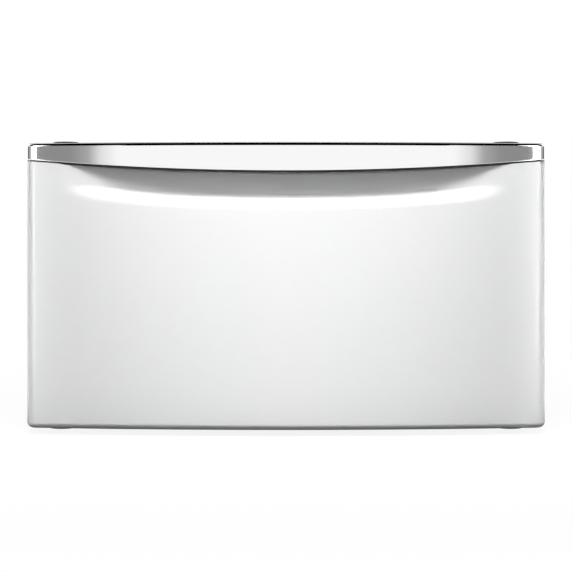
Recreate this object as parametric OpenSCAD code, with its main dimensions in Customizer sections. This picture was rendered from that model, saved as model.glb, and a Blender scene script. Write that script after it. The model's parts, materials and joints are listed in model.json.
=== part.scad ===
// Laundry pedestal with a storage drawer. A folded steel cabinet stands on four levelling feet and carries
// a washer on four pressed seats. The drawer runs on full-extension ball slides, and its bowed front ends
// in a bright handle strip over a scooped finger pocket.
// +X is right, +Y is towards the back, +Z is up. The origin is on the floor under the middle.

/* [Overall] */
// Width of the cabinet and of the drawer front
cabinet_w = 686; // [640:1:740]
// Depth from the bowed handle to the back panel screws
overall_d = 676; // [640:1:720]
// Height of the drawer front with its handle
front_h = 376; // [350:1:420]
// Gap under the drawer front with the feet screwed in
floor_gap = 8; // [7:0.1:14]

/* [Drawer front] */
// How far the middle stands ahead of the sides
bow = 31; // [20:1:38]
// Radius of the upright corners, seen from above
corner_r = 15; // [14:0.5:22]
// Depth from the middle of the bow to the back of the front
front_d = 66; // [60:1:80]
// Wall of the moulded front
shell_t = 2.5; // [2:0.1:3]
// Radius along the lower edge
edge_r = 8; // [5:0.5:10]
// Depth of the in-turned lower flange
lower_flange = 12; // [11:0.5:13.5]
// Depth of the finger pocket
pocket_d = 24; // [18:1:28]
// Half width of the finger pocket
pocket_half_w = 302; // [285:1:310]
// Crease of the pocket under the handle top, at the middle
crease_drop = 67.2; // [60:0.2:80]
// Crease of the pocket under the handle top, at the sides
crease_end_drop = 46.4; // [42:0.2:56]
// Height of the curve from the crease down to the flat face
lip_h = 23; // [15:1:35]

/* [Handle] */
// Height of the handle strip at the middle
handle_mid_h = 38.6; // [32:0.2:44]
// Height of the handle strip at the sides
handle_end_h = 22.6; // [18:0.2:28]
// Wall of the handle strip
handle_t = 3; // [2:0.1:3.5]
// Radius along the top edge of the strip
handle_r = 4.8; // [2.5:0.1:5]
// How far the strip stands proud of the face
handle_proud = 0.6; // [0.2:0.1:1.5]
// Depth of the strip's top ledge
handle_ledge = 13; // [8:0.5:13.5]
// Half width of the grip rail behind the strip
grip_half_w = 220; // [150:1:235]
// Wall of the grip rail
grip_t = 4; // [2.5:0.5:6]

/* [Cabinet] */
// Steel sheet of the cabinet and the drawer
sheet_t = 1.2; // [0.8:0.1:1.4]
// Inner radius of the folded edges
bend_r = 1.5; // [1:0.1:2]
// Gap between the drawer front and the cabinet
front_gap = 3; // [2:0.5:5]
// Top deck of the cabinet below the handle top
deck_drop = 1; // [0:0.5:4]
// Base of the cabinet above the lower edge of the drawer front
base_rise = 5; // [5:0.5:9]
// Width of the side panels' top flanges
top_flange = 82; // [80:1:95]
// Width of the side panels' base flanges
base_flange = 60; // [50:1:66]
// Width of the side panels' front flanges
front_flange = 20; // [17:0.5:21]
// Width of the side panels' rear flanges
rear_flange = 18; // [14:1:24]
// Depth of the top rails
top_rail_d = 45; // [42:1:55]
// Depth of the base rails
base_rail_d = 82; // [79:1:95]
// Height of the top rails' outer flanges
top_rail_h = 35; // [25:1:42]
// Height of the base rails' outer flanges
base_rail_h = 26; // [18:1:30]
// Height of the rails' inner lips
rail_lip = 9; // [6:1:12]
// Depth of the pressed beads in the back panel
bead_d = 4; // [2:0.5:6]
// Height of the pressed beads in the back panel
bead_h = 36; // [24:1:50]

/* [Washer seats] */
// Seat centres in from the sides of the cabinet
seat_inset_x = 43; // [41:1:46]
// Front seats behind the cabinet's front
seat_setback = 42; // [41:1:46]
// Rear seats ahead of the back panel
seat_setback_rear = 50.8; // [48:0.1:52]
// Seat tops above the top deck
seat_rise = 7; // [5:0.5:10]
// Radius of the flat top of a seat
seat_r = 16; // [14:0.5:18]
// Radius of the bolt hole in a seat
seat_hole_r = 4.5; // [4:0.1:5.5]
// Half width of a seat's base plate
seat_plate_half = 38; // [36:0.5:39]
// Sheet of the seats and foot brackets
bracket_t = 2; // [1.6:0.1:2.4]

/* [Feet] */
// Foot centres in from the sides of the cabinet
foot_inset_x = 38; // [36:1:40]
// Foot centres in from the front and the back of the cabinet
foot_inset_y = 46; // [36:1:47]
// Radius of the foot pads
pad_r = 18; // [15:0.5:20]
// Height of the foot pads
pad_h = 8.4; // [7.5:0.1:8.6]
// Radius of the foot studs
stud_r = 4.9; // [4:0.1:5.2]
// Radial clearance of the studs in their nuts
stud_fit = 0.05; // [0.02:0.01:0.1]
// Top of the studs above the floor
stud_top = 48; // [40:1:49]
// Width across the flats of the nuts
nut_flats = 17; // [16:0.5:19]
// Height of the weld nuts
weld_nut_h = 8; // [6:0.5:9]

/* [Slides] */
// Length of the outer and inner slide members
slide_len = 500; // [470:5:510]
// Length of the middle slide members
middle_len = 490; // [460:5:500]
// Height of the slides
slide_h = 45.7; // [44:0.1:48]
// Width of the slides
slide_w = 12.7; // [12.4:0.1:13.4]
// Wall of the slide members
slide_t = 1.2; // [1:0.05:1.25]
// Radius of the outer balls
outer_ball_r = 2.2; // [2:0.05:2.3]
// Radius of the inner balls
inner_ball_r = 2; // [1.8:0.05:2.1]
// Clearance of the balls in their races
ball_fit = 0.22; // [0.15:0.01:0.3]
// Length of the ball cages
cage_len = 240; // [200:5:250]
// Balls in one row of a cage
ball_count = 8; // [4:1:10]
// How far the slides stand off the side panels
support_d = 22; // [21.8:0.1:26]
// Screw head radius
screw_head_r = 4.2; // [3.5:0.1:4.5]
// Screw head height
screw_head_h = 1.6; // [1.2:0.1:3]
// Screw shank radius
screw_r = 2; // [1.5:0.1:2.2]

/* [Drawer box] */
// Height of the drawer sides
drawer_h = 250; // [220:1:262]
// Depth of the drawer box
drawer_d = 520; // [505:1:540]
// Bottom of the drawer above the cabinet base
drawer_rise = 40; // [38:1:44]
// Centre of the slides above the drawer bottom
slide_rise = 90; // [60:1:150]
// Width of the rolled top edges
hem_w = 9; // [6:0.5:12]
// Width of the drawer sides' bottom flanges
drawer_flange = 14; // [10:0.5:18]
// Height of the divider
divider_h = 190; // [120:1:215]
// Divider behind the middle of the drawer
divider_shift = 25; // [-60:1:60]
// Height of the divider's guide channels
guide_h = 62; // [40:1:70]

/* [Hidden] */
$fn = 48;

// Finishes
white_paint = "white";
bright_trim = "silver";
grey_plastic = "dimgray";
zinc_steel = "lightsteelblue";
black_rubber = "black";

// Small clearances
seam = 0.3;          // between fixed pieces that nest
screw_fit = 0.1;     // round a screw shank
slip = 0.25;         // between sliding sheet pieces

// Heights
z_low = floor_gap;                       // lower edge of the drawer front
z_top = floor_gap + front_h;             // top of the handle
z_deck = z_top - deck_drop;              // top of the cabinet's top flanges
z_base = floor_gap + base_rise;          // underside of the cabinet's base flanges
z_seat = z_deck + seat_rise;             // where the washer stands
z_box = z_base + drawer_rise;            // underside of the drawer box
z_slide = z_box + slide_rise;            // centre of the slides

// Front to back
half_w = cabinet_w / 2;
y_face = -overall_d / 2 + handle_proud;  // middle of the bowed face
y_liner = y_face + front_d;              // back of the drawer front
y_cabinet = y_liner + front_gap;         // front of the cabinet
y_back = overall_d / 2 - screw_head_h;   // outside of the back panel
y_box_end = y_liner + drawer_d;          // back of the drawer box
y_slide = y_cabinet + 4;                 // front end of the slides
cage_setback = 130;                      // ball cages behind the front end of the slides, drawer closed
y_cage = y_slide + cage_setback;

// Across
x_support = half_w - sheet_t - support_d;   // face that carries a slide
x_box = x_support - slide_w;                // outside of the drawer side

// Feet and seats
feet = [for (right = [-1, 1]) for (rear = [0, 1])
    [right * (half_w - foot_inset_x), rear == 0 ? y_cabinet + foot_inset_y : y_back - foot_inset_y]];
seat_y = [y_cabinet + seat_setback, y_back - seat_setback_rear];
seats = [for (right = [-1, 1]) for (y = seat_y) [right * (half_w - seat_inset_x), y]];

// ---------------------------------------------------------------- folded sheet

function unit(v) = v / norm(v);
function across(v) = [-v[1], v[0]];

// A path with each inner corner replaced by an arc of radius r.
function rounded(path, r, steps = 4) = [
    for (i = [0 : len(path) - 1])
        if (i == 0 || i == len(path) - 1) path[i]
        else each
            let (
                a = unit(path[i - 1] - path[i]),
                b = unit(path[i + 1] - path[i]),
                half = acos(max(-1, min(1, a * b))) / 2,
                centre = path[i] + unit(a + b) * r / sin(half),
                from = path[i] + a * r / tan(half) - centre,
                turn = sign(a[0] * b[1] - a[1] * b[0]) * (2 * half - 180)
            )
            [for (k = [0 : steps]) let (t = turn * k / steps)
                centre + [from[0] * cos(t) - from[1] * sin(t), from[0] * sin(t) + from[1] * cos(t)]]
];

// Side of a path at distance d, square to it and mitred at its corners.
function beside(path, d) = [
    for (i = [0 : len(path) - 1])
        let (
            before = i == 0 ? unit(path[1] - path[0]) : unit(path[i] - path[i - 1]),
            after = i == len(path) - 1 ? before : unit(path[i + 1] - path[i]),
            middle = unit(across(before) + across(after))
        )
        path[i] + middle * d / (middle * across(before))
];

// Section of a sheet of thickness t folded along a centre line.
module folded(path, t = sheet_t, r = bend_r) {
    line = rounded(path, r + t / 2);
    side = beside(line, -t / 2);
    polygon(concat(beside(line, t / 2), [for (i = [len(side) - 1 : -1 : 0]) side[i]]));
}

// A section drawn in X and Z, run from y0 to y1.
module along_y(y0, y1) {
    translate([0, y1, 0]) rotate([90, 0, 0]) linear_extrude(y1 - y0) children();
}

// A section drawn in Y and Z, run from x0 to x1.
module along_x(x0, x1) {
    translate([x0, 0, 0]) rotate([90, 0, 90]) linear_extrude(x1 - x0) children();
}

module hole_z(p, r, z0, z1) {
    translate([p[0], p[1], z0]) cylinder(r = r, h = z1 - z0);
}

module hole_y(x, z, r, y0, y1) {
    translate([x, y1, z]) rotate([90, 0, 0]) cylinder(r = r, h = y1 - y0);
}

module hole_x(y, z, r, x0, x1) {
    translate([x0, y, z]) rotate([0, 90, 0]) cylinder(r = r, h = x1 - x0);
}

module on_left() {
    mirror([1, 0, 0]) children();
}

// ---------------------------------------------------------------- bowed front

bow_r = (half_w * half_w + bow * bow) / (2 * bow);
bow_centre = [0, y_face + bow_r];
corner_x = half_w - corner_r;
corner_y = y_face + bow_r - sqrt(pow(bow_r - corner_r, 2) - corner_x * corner_x);
bow_half_angle = asin(corner_x / (bow_r - corner_r));
bow_steps = 40;
corner_steps = 6;

// Outward direction on the front at an angle from straight ahead.
function facing(a) = [sin(a), -cos(a)];

// Places round the front from the left rear edge to the right rear edge, each with its outward direction.
front_stations = concat(
    [[[-half_w, y_liner], [-1, 0]]],
    [for (i = [0 : corner_steps]) let (a = -90 + (90 - bow_half_angle) * i / corner_steps)
        [[-corner_x, corner_y] + corner_r * facing(a), facing(a)]],
    [for (i = [1 : bow_steps - 1]) let (a = -bow_half_angle + 2 * bow_half_angle * i / bow_steps)
        [bow_centre + bow_r * facing(a), facing(a)]],
    [for (i = [0 : corner_steps]) let (a = bow_half_angle + (90 - bow_half_angle) * i / corner_steps)
        [[corner_x, corner_y] + corner_r * facing(a), facing(a)]],
    [[[half_w, y_liner], [1, 0]]]
);

// The front's plan line moved out by d, for the stations within x_limit.
function front_line(d, x_limit = cabinet_w) =
    [for (s = front_stations) if (abs(s[0][0]) <= x_limit) s[0] + s[1] * d];

// Plan of a band that follows the front between two distances out.
module front_band(d_out, d_in, x_limit = cabinet_w) {
    inner = front_line(d_in, x_limit);
    polygon(concat(front_line(d_out, x_limit), [for (i = [len(inner) - 1 : -1 : 0]) inner[i]]));
}

// Closed skin through equal loops of points, one loop for each station.
module loft(loops) {
    n = len(loops[0]);
    m = len(loops);
    polyhedron(
        points = [for (l = loops) each l],
        faces = concat(
            [[for (j = [0 : n - 1]) j]],
            [[for (j = [n - 1 : -1 : 0]) (m - 1) * n + j]],
            [for (i = [0 : m - 2]) for (j = [0 : n - 1]) let (a = i * n, b = a + n, k = (j + 1) % n)
                each [[a + j, b + j, b + k], [a + j, b + k, a + k]]]
        )
    );
}

// A loop of [depth, height] pairs set up at one station of the front.
function stood_up(s, section) = [for (p = section) [each (s[0] - s[1] * p[0]), p[1]]];

// Share of the full curve from the middle to the sides, at x.
function sag(x) = pow(x / half_w, 2);
function strip_low(x) = z_top - handle_mid_h + (handle_mid_h - handle_end_h) * sag(x);
function crease(x) = z_top - crease_drop + (crease_drop - crease_end_drop) * sag(x);
// Share of the pocket's full depth at x: flat in the middle, and it runs out smoothly at both ends.
function pocket_fade(x) = pow(cos(90 * pow(min(1, abs(x) / pocket_half_w), pocket_taper)), 2);
function pocket_at(x) = pocket_d * pocket_fade(x);
// Share of the pocket's depth at a height t from the face, 0, to the crease, 1, and how fast it grows there.
function lip_share(t) = (1 - cos(180 * pow(t, lip_lean))) / 2;
function lip_slope(t) = PI / 2 * sin(180 * pow(t, lip_lean)) * lip_lean * pow(max(t, 0.001), lip_lean - 1);
lip_lean = 1.4;      // above 1 the curve is tighter at the crease than at the face
lip_steps = 8;
edge_steps = 4;
pocket_taper = 2.8;  // higher keeps the pocket's full depth further out
strip_step = handle_t - handle_proud + seam;   // the face drops back this far under the strip
panel_top = z_top - handle_t - seam;

// Section of the moulded front at x: the outer side from the lower flange to the top, then back down inside.
function panel_section(x) =
    let (
        deep = pocket_at(x),
        low = crease(x) - lip_h,
        wall = max(deep, strip_step)
    )
    concat(
        [[lower_flange, z_low]],
        [for (i = [0 : edge_steps]) let (t = 90 * i / edge_steps)
            [edge_r - edge_r * sin(t), z_low + edge_r - edge_r * cos(t)]],
        [for (i = [0 : lip_steps]) let (t = i / lip_steps) [deep * lip_share(t), low + lip_h * t]],
        [[deep, strip_low(x) - 0.8], [wall, strip_low(x) - seam], [wall, panel_top]],
        [[wall + shell_t, panel_top], [wall + shell_t, strip_low(x) - 0.8]],
        [for (i = [lip_steps : -1 : 0]) let (t = i / lip_steps, slope = deep * lip_slope(t) / lip_h)
            [deep * lip_share(t) + shell_t * sqrt(1 + slope * slope), low + lip_h * t]],
        [for (i = [edge_steps : -1 : 0]) let (t = 90 * i / edge_steps, r = edge_r - shell_t)
            [edge_r - r * sin(t), z_low + edge_r - r * cos(t)]],
        [[lower_flange, z_low + shell_t]]
    );

module front_panel() {
    color(white_paint)
        loft([for (s = front_stations) stood_up(s, panel_section(s[0][0]))]);
}

// Section of the handle strip at x: an upright face with eased edges, and a ledge back from its top.
function strip_section(x) =
    let (out = -handle_proud, back = out + handle_t, low = strip_low(x), r_low = handle_t * 0.8)
    concat(
        [[back, low]],
        [for (t = [0 : 22.5 : 90]) [out + r_low * (1 - sin(t)), low + r_low * (1 - cos(t))]],
        [for (t = [90 : -18 : 0]) [out + handle_r * (1 - sin(t)), z_top - handle_r * (1 - cos(t))]],
        [[handle_ledge, z_top], [handle_ledge, z_top - handle_t], [back, z_top - handle_t]]
    );

module handle_strip() {
    color(bright_trim)
        loft([for (s = front_stations) stood_up(s, strip_section(s[0][0]))]);
}

// Finger side of the handle: a rail inside the strip where the pocket is deep.
grip_low = 6;        // the rail's lower edge above the strip's
module handle_grip() {
    inside = -(handle_t - handle_proud + seam);
    color(grey_plastic)
        intersection() {
            translate([0, 0, z_top - handle_mid_h])
                linear_extrude(handle_mid_h - handle_t - seam)
                    front_band(inside, inside - grip_t, grip_half_w);
            along_y(y_face - 1, y_liner)
                polygon(concat(
                    [for (i = [-20 : 20]) let (x = i * grip_half_w / 20) [x, strip_low(x) + grip_low]],
                    [[grip_half_w, z_top], [-grip_half_w, z_top]]
                ));
        }
}

// Flat cover between the handle's ledge and the back of the front.
cap_rib_h = 9;
tongue_t = 2.2;
tongue_half_w = 140;
ledge_edge = -(handle_ledge + seam);       // front edge of the cover, behind the handle's ledge
module front_top_cap() {
    color(white_paint)
        union() {
            translate([0, 0, z_top - handle_t])
                linear_extrude(handle_t)
                    intersection() {
                        polygon(front_line(ledge_edge));
                        translate([-half_w, y_face]) square([cabinet_w, front_d]);
                    }
            for (back = [8, 20])
                translate([-half_w + 40, y_liner - back - shell_t, z_top - handle_t - cap_rib_h])
                    cube([cabinet_w - 80, shell_t, cap_rib_h + 1]);
            translate([0, 0, z_top - handle_t - seam - tongue_t]) {
                linear_extrude(tongue_t) front_band(ledge_edge + 4, ledge_edge - 5, tongue_half_w);
                linear_extrude(tongue_t + 1) front_band(ledge_edge, ledge_edge - 5, tongue_half_w);
            }
        }
}

// Steel back of the drawer front, with flanges that reach forward inside the moulded shell.
liner_top = z_top - handle_t - cap_rib_h - seam;
liner_x = half_w - shell_t - strip_step - 2 * seam;
module front_liner() {
    floor_z = z_low + shell_t + seam;
    liner_edge = [[liner_x - edge_r, floor_z], [liner_x, z_low + edge_r], [liner_x, liner_top]];
    color(zinc_steel)
        difference() {
            union() {
                along_y(y_liner - sheet_t, y_liner)
                    polygon([for (m = [-1, 1]) each
                        [for (p = m < 0 ? liner_edge : [for (i = [2 : -1 : 0]) liner_edge[i]]) [m * p[0], p[1]]]]);
                for (m = [0, 1]) mirror([m, 0, 0])
                    translate([0, 0, z_low + edge_r]) linear_extrude(liner_top - z_low - edge_r)
                        folded([[liner_x - sheet_t / 2, y_liner - 13],
                                [liner_x - sheet_t / 2, y_liner - sheet_t / 2],
                                [liner_x - 20, y_liner - sheet_t / 2]]);
                translate([0, 0, floor_z]) linear_extrude(sheet_t)
                    intersection() {
                        polygon(front_line(-(lower_flange - 2)));
                        translate([-liner_x, y_face]) square([2 * liner_x, front_d]);
                    }
                along_x(-liner_x + 30, liner_x - 30)
                    folded([[y_liner - 30, liner_top - sheet_t / 2],
                            [y_liner - sheet_t / 2, liner_top - sheet_t / 2],
                            [y_liner - sheet_t / 2, liner_top - 20]]);
            }
            for (p = front_screw_places) hole_y(p[0], p[1], screw_r + screw_fit, y_liner - 5, y_liner + 5);
        }
}

// ---------------------------------------------------------------- cabinet

// Screws that hold the back panel to the side panels' rear flanges, as heights.
back_screw_z = [z_base + base_rail_h + 16, (z_base + z_deck) / 2, z_deck - top_rail_h - 20];
back_screw_x = half_w - rear_flange / 2;
seat_screw = seat_plate_half - 6;      // from a seat's centre to its screws, each way
foot_screw = 20;                       // from a foot's centre to its bracket screws
bumper_z = [z_base + 46, z_deck - 44];
bumper_x = half_w - front_flange / 2;
bumper_stem_r = 2.4;

module side_panel_right() {
    color(white_paint)
        difference() {
            union() {
                along_y(y_cabinet, y_back - sheet_t)
                    folded([[half_w - top_flange, z_deck - sheet_t / 2],
                            [half_w - sheet_t / 2, z_deck - sheet_t / 2],
                            [half_w - sheet_t / 2, z_base + sheet_t / 2],
                            [half_w - base_flange, z_base + sheet_t / 2]]);
                translate([0, 0, z_base + 4]) linear_extrude(z_deck - z_base - 8)
                    folded([[half_w - front_flange, y_cabinet + sheet_t / 2],
                            [half_w - sheet_t / 2, y_cabinet + sheet_t / 2],
                            [half_w - sheet_t / 2, y_back - 1.5 * sheet_t],
                            [half_w - rear_flange, y_back - 1.5 * sheet_t]]);
            }
            for (p = seats) if (p[0] > 0) {
                hole_z(p, seat_r - 2, z_deck - 5, z_deck + 5);
                for (dx = [-1, 1]) for (dy = [-1, 1])
                    hole_z(p + seat_screw * [dx, dy], screw_r + screw_fit, z_deck - 5, z_deck + 5);
            }
            for (p = feet) if (p[0] > 0) {
                hole_z(p, stud_r + 1, z_base - 5, z_base + 5);
                for (dy = [-1, 1])
                    hole_z(p + foot_screw * [0, dy], screw_r + screw_fit, z_base - 5, z_base + 5);
            }
            for (z = back_screw_z) hole_y(back_screw_x, z, screw_r + screw_fit, y_back - 5, y_back + 5);
            for (z = bumper_z) hole_y(bumper_x, z, bumper_stem_r + screw_fit, y_cabinet - 5, y_cabinet + 5);
        }
}

// Back panel with two pressed beads that stop short of the sides.
module back_panel() {
    bead_x = half_w - 36;
    bead_z = [z_base + 90, z_deck - 90 - bead_h];
    y_mid = y_back - sheet_t / 2;
    color(white_paint)
        difference() {
            union() {
                difference() {
                    translate([-half_w + 0.5, y_back - sheet_t, z_base + 1])
                        cube([cabinet_w - 1, sheet_t, z_deck - z_base - 2]);
                    for (z = bead_z) translate([-bead_x, y_back - 2 * sheet_t, z])
                        cube([2 * bead_x, 3 * sheet_t, bead_h]);
                }
                for (z = bead_z) {
                    along_x(-bead_x, bead_x)
                        folded([[y_mid, z - 3], [y_mid, z], [y_mid - bead_d, z + bead_d],
                                [y_mid - bead_d, z + bead_h - bead_d], [y_mid, z + bead_h],
                                [y_mid, z + bead_h + 3]]);
                    for (m = [0, 1]) mirror([m, 0, 0])
                        along_x(bead_x - sheet_t, bead_x)
                            polygon([[y_back, z - 1], [y_back - sheet_t, z - 1],
                                     [y_back - sheet_t - bead_d, z + bead_d],
                                     [y_back - sheet_t - bead_d, z + bead_h - bead_d],
                                     [y_back - sheet_t, z + bead_h + 1], [y_back, z + bead_h + 1]]);
                }
            }
            for (x = [-back_screw_x, back_screw_x]) for (z = back_screw_z)
                hole_y(x, z, screw_r + screw_fit, y_back - 8, y_back + 5);
        }
}

// Channel rail under the side panels' flanges. y0 is its outer side, and towards is 1 when it opens to the back.
fold_room = sheet_t + bend_r + seam;       // kept clear where a piece ends inside a fold
module rail(y0, towards, depth, z_web, flange_h, up) {
    y_flange = y0 + towards * sheet_t / 2;
    y_lip = y0 + towards * (depth - sheet_t / 2);
    z_mid = z_web + sheet_t / 2;
    along_x(-half_w + fold_room, half_w - fold_room)
        folded([[y_flange, z_mid + up * flange_h], [y_flange, z_mid], [y_lip, z_mid], [y_lip, z_mid + up * rail_lip]]);
}

module top_rail(y0, towards, seats_at) {
    color(white_paint)
        difference() {
            rail(y0, towards, top_rail_d, z_deck - 2 * sheet_t, top_rail_h, -1);
            for (p = seats) if (p[1] == seats_at) {
                hole_z(p, seat_r - 2, z_deck - 5, z_deck + 5);
                for (dx = [-1, 1]) for (dy = [-1, 1])
                    hole_z(p + seat_screw * [dx, dy], screw_r + screw_fit, z_deck - 20, z_deck + 5);
            }
        }
}

module base_rail(y0, towards, foot_y) {
    color(white_paint)
        difference() {
            rail(y0, towards, base_rail_d, z_base + sheet_t, base_rail_h, 1);
            for (p = feet) if (p[1] == foot_y) {
                hole_z(p, stud_r + 1, z_base - 5, z_base + 5);
                for (dy = [-1, 1])
                    hole_z(p + foot_screw * [0, dy], screw_r + screw_fit, z_base - 5, z_base + 5);
            }
        }
}

// A pressed seat for one corner of the washer: a raised round boss in a screwed plate.
module washer_seat(p) {
    low = bracket_t / 2;
    high = seat_rise - bracket_t / 2;
    slope_r = seat_r + seat_rise;
    color(white_paint)
        translate([p[0], p[1], z_deck])
            difference() {
                union() {
                    difference() {
                        translate([-seat_plate_half, -seat_plate_half, 0])
                            cube([2 * seat_plate_half, 2 * seat_plate_half, bracket_t]);
                        translate([0, 0, -1]) cylinder(r = slope_r + 1, h = bracket_t + 2);
                    }
                    rotate_extrude()
                        folded([[seat_hole_r, high], [seat_r, high], [slope_r, low], [slope_r + 4, low]],
                               bracket_t, 1);
                }
                for (dx = [-1, 1]) for (dy = [-1, 1])
                    hole_z(seat_screw * [dx, dy], screw_r + screw_fit, -5, 5);
            }
}

// Plate that spreads a foot's load over the base rail and the side flange.
foot_plate_x = 24;
foot_plate_y = 28;
module foot_bracket(p) {
    z0 = z_base + 2 * sheet_t;
    color(zinc_steel)
        difference() {
            union() {
                translate([p[0] - foot_plate_x, p[1] - foot_plate_y, z0])
                    cube([2 * foot_plate_x, 2 * foot_plate_y, bracket_t]);
                for (s = [-1, 1])
                    translate([p[0] + s * foot_plate_x - (s + 1) / 2 * bracket_t, p[1] - foot_plate_y + 6, z0])
                        cube([bracket_t, 2 * foot_plate_y - 12, 12]);
            }
            hole_z(p, stud_r + 1, z0 - 5, z0 + 5);
            for (dy = [-1, 1])
                hole_z(p + foot_screw * [0, dy], screw_r + screw_fit, z0 - 5, z0 + 5);
        }
}

module nut(p, z, h) {
    translate([p[0], p[1], z])
        difference() {
            cylinder(r = nut_flats / sqrt(3), h = h, $fn = 6);
            translate([0, 0, -1]) cylinder(r = stud_r + stud_fit, h = h + 2);
        }
}

module foot_weld_nuts() {
    color(zinc_steel) for (p = feet) nut(p, z_base + 2 * sheet_t + bracket_t, weld_nut_h);
}

module foot_jam_nuts() {
    low = pad_h + 2 * seam;
    color(zinc_steel) for (p = feet) nut(p, low, z_base - low);
}

// Hat-section rail on the side panel that carries a slide.
support_half = 28;
module slide_support_right() {
    x_wall = half_w - 1.5 * sheet_t;
    color(zinc_steel)
        difference() {
            along_y(y_cabinet + fold_room, y_slide + slide_len + 20)
                folded([[x_wall, z_slide + support_half + 13], [x_wall, z_slide + support_half],
                        [x_support + sheet_t / 2, z_slide + support_half],
                        [x_support + sheet_t / 2, z_slide - support_half],
                        [x_wall, z_slide - support_half], [x_wall, z_slide - support_half - 13]]);
            for (y = rivet_y) hole_x(y, z_slide, screw_r + screw_fit, x_support - 5, x_support + 5);
        }
}

module bumper() {
    rotate([90, 0, 0]) {
        cylinder(r = 6, h = front_gap - seam);
        translate([0, 0, -3 - sheet_t]) cylinder(r = bumper_stem_r, h = 3 + sheet_t);
        translate([0, 0, -3 - sheet_t]) cylinder(r1 = bumper_stem_r - 0.6, r2 = bumper_stem_r + 0.9, h = 3 - seam);
    }
}

module drawer_bumpers() {
    color(black_rubber)
        for (x = [-bumper_x, bumper_x]) for (z = bumper_z)
            translate([x, y_cabinet, z]) bumper();
}

// Pan-head screw pointing down, its head standing on z = 0.
module screw(length) {
    cylinder(r = screw_head_r, h = screw_head_h - 1);
    translate([0, 0, screw_head_h - 1]) cylinder(r1 = screw_head_r, r2 = screw_head_r - 1.4, h = 1);
    translate([0, 0, -length]) cylinder(r = screw_r, h = length);
}

module cabinet_screws() {
    color(zinc_steel) {
        for (p = seats) for (dx = [-1, 1]) for (dy = [-1, 1])
            translate([each (p + seat_screw * [dx, dy]), z_deck + bracket_t]) screw(8);
        for (p = feet) for (dy = [-1, 1])
            translate([each (p + foot_screw * [0, dy]), z_base + 2 * sheet_t + bracket_t]) screw(7);
        for (x = [-back_screw_x, back_screw_x]) for (z = back_screw_z)
            translate([x, y_back, z]) rotate([-90, 0, 0]) screw(8);
    }
}

// ---------------------------------------------------------------- feet

// Pad with a socket that holds the stud's flange and lets it turn.
socket_floor = 2.6;
socket_h = 3.6;
flange_r = 7;
module foot_pad(p) {
    color(black_rubber)
        translate([p[0], p[1], 0])
            rotate_extrude()
                polygon([[0, 0], [pad_r - 1, 0], [pad_r, 1], [pad_r, 4], [pad_r - 5, pad_h],
                         [stud_r + 0.8, pad_h], [stud_r + 0.8, socket_floor + socket_h],
                         [flange_r + seam, socket_floor + socket_h], [flange_r + seam, socket_floor],
                         [0, socket_floor]]);
}

module foot_stud(p) {
    low = socket_floor + seam;
    color(zinc_steel)
        translate([p[0], p[1], 0])
            difference() {
                union() {
                    translate([0, 0, low]) cylinder(r = flange_r, h = socket_h - 2 * seam);
                    translate([0, 0, low]) cylinder(r = stud_r, h = stud_top - low - 1);
                    translate([0, 0, stud_top - 1]) cylinder(r1 = stud_r, r2 = stud_r - 1, h = 1);
                }
                translate([-stud_r - 1, -0.8, stud_top - 3]) cube([2 * stud_r + 2, 1.6, 4]);
            }
}

// ---------------------------------------------------------------- ball slides

// Distances inside a slide are taken as u, in from the cabinet, and v, up from its centre.
cage_t = 0.5;
pocket_fit = 0.08;                                               // round a ball in its cage
outer_lip_v = slide_h / 2 - slide_t;                             // underside of the outer member's lip
outer_ball_v = outer_lip_v - ball_fit - outer_ball_r;
middle_v = outer_ball_v - outer_ball_r - ball_fit;               // outside of the middle member's flange
inner_ball_v = middle_v - slide_t - ball_fit - inner_ball_r;
inner_v = inner_ball_v - inner_ball_r - ball_fit;                // outside of the inner member's flange
middle_u = slide_t + cage_t + 2 * slip;                          // cabinet side of the middle member's web
outer_ball_u = 6;
inner_ball_u = 7.9;
curl = 1.1;                                                      // how far the flanges' free edges turn up
rivet_y = [for (share = [0.08, 0.5, 0.92]) y_slide + slide_len * share];

// A slide member's section from half of its folded line, drawn on the right-hand side.
module slide_section(half_line, r = 0.4) {
    upper = [for (p = half_line) [x_support - p[0], z_slide + p[1]]];
    lower = [for (i = [len(half_line) - 1 : -1 : 0]) [x_support - half_line[i][0], z_slide - half_line[i][1]]];
    folded(concat(upper, lower), slide_t, r);
}

module slide_outer_right() {
    mid = slide_t / 2;
    color(zinc_steel)
        difference() {
            along_y(y_slide, y_slide + slide_len)
                slide_section([[slide_w - 1 - mid, outer_lip_v - 2], [slide_w - 1 - mid, outer_lip_v + mid],
                               [mid, outer_lip_v + mid]]);
            for (y = rivet_y) hole_x(y, z_slide, screw_head_r, x_support - 5, x_support + 5);
        }
}

module slide_middle_right() {
    mid = slide_t / 2;
    color(zinc_steel)
        along_y(y_slide, y_slide + middle_len)
            slide_section([[slide_w - 1.6 - mid, middle_v + curl], [slide_w - 1.6 - mid, middle_v - mid],
                           [middle_u + mid, middle_v - mid]]);
}

module slide_inner_right() {
    mid = slide_t / 2;
    free_u = middle_u + slide_t + cage_t + 2 * slip + mid;
    color(zinc_steel)
        difference() {
            along_y(y_slide, y_slide + slide_len)
                slide_section([[free_u, inner_v + curl], [free_u, inner_v - mid], [slide_w - mid, inner_v - mid]]);
            for (y = rivet_y) hole_x(y, z_slide, screw_r + screw_fit, x_box - 5, x_box + 5);
            hole_x(lever_y, z_slide, lever_pin_r + screw_fit, x_box - 5, x_box + 5);
        }
}

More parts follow.
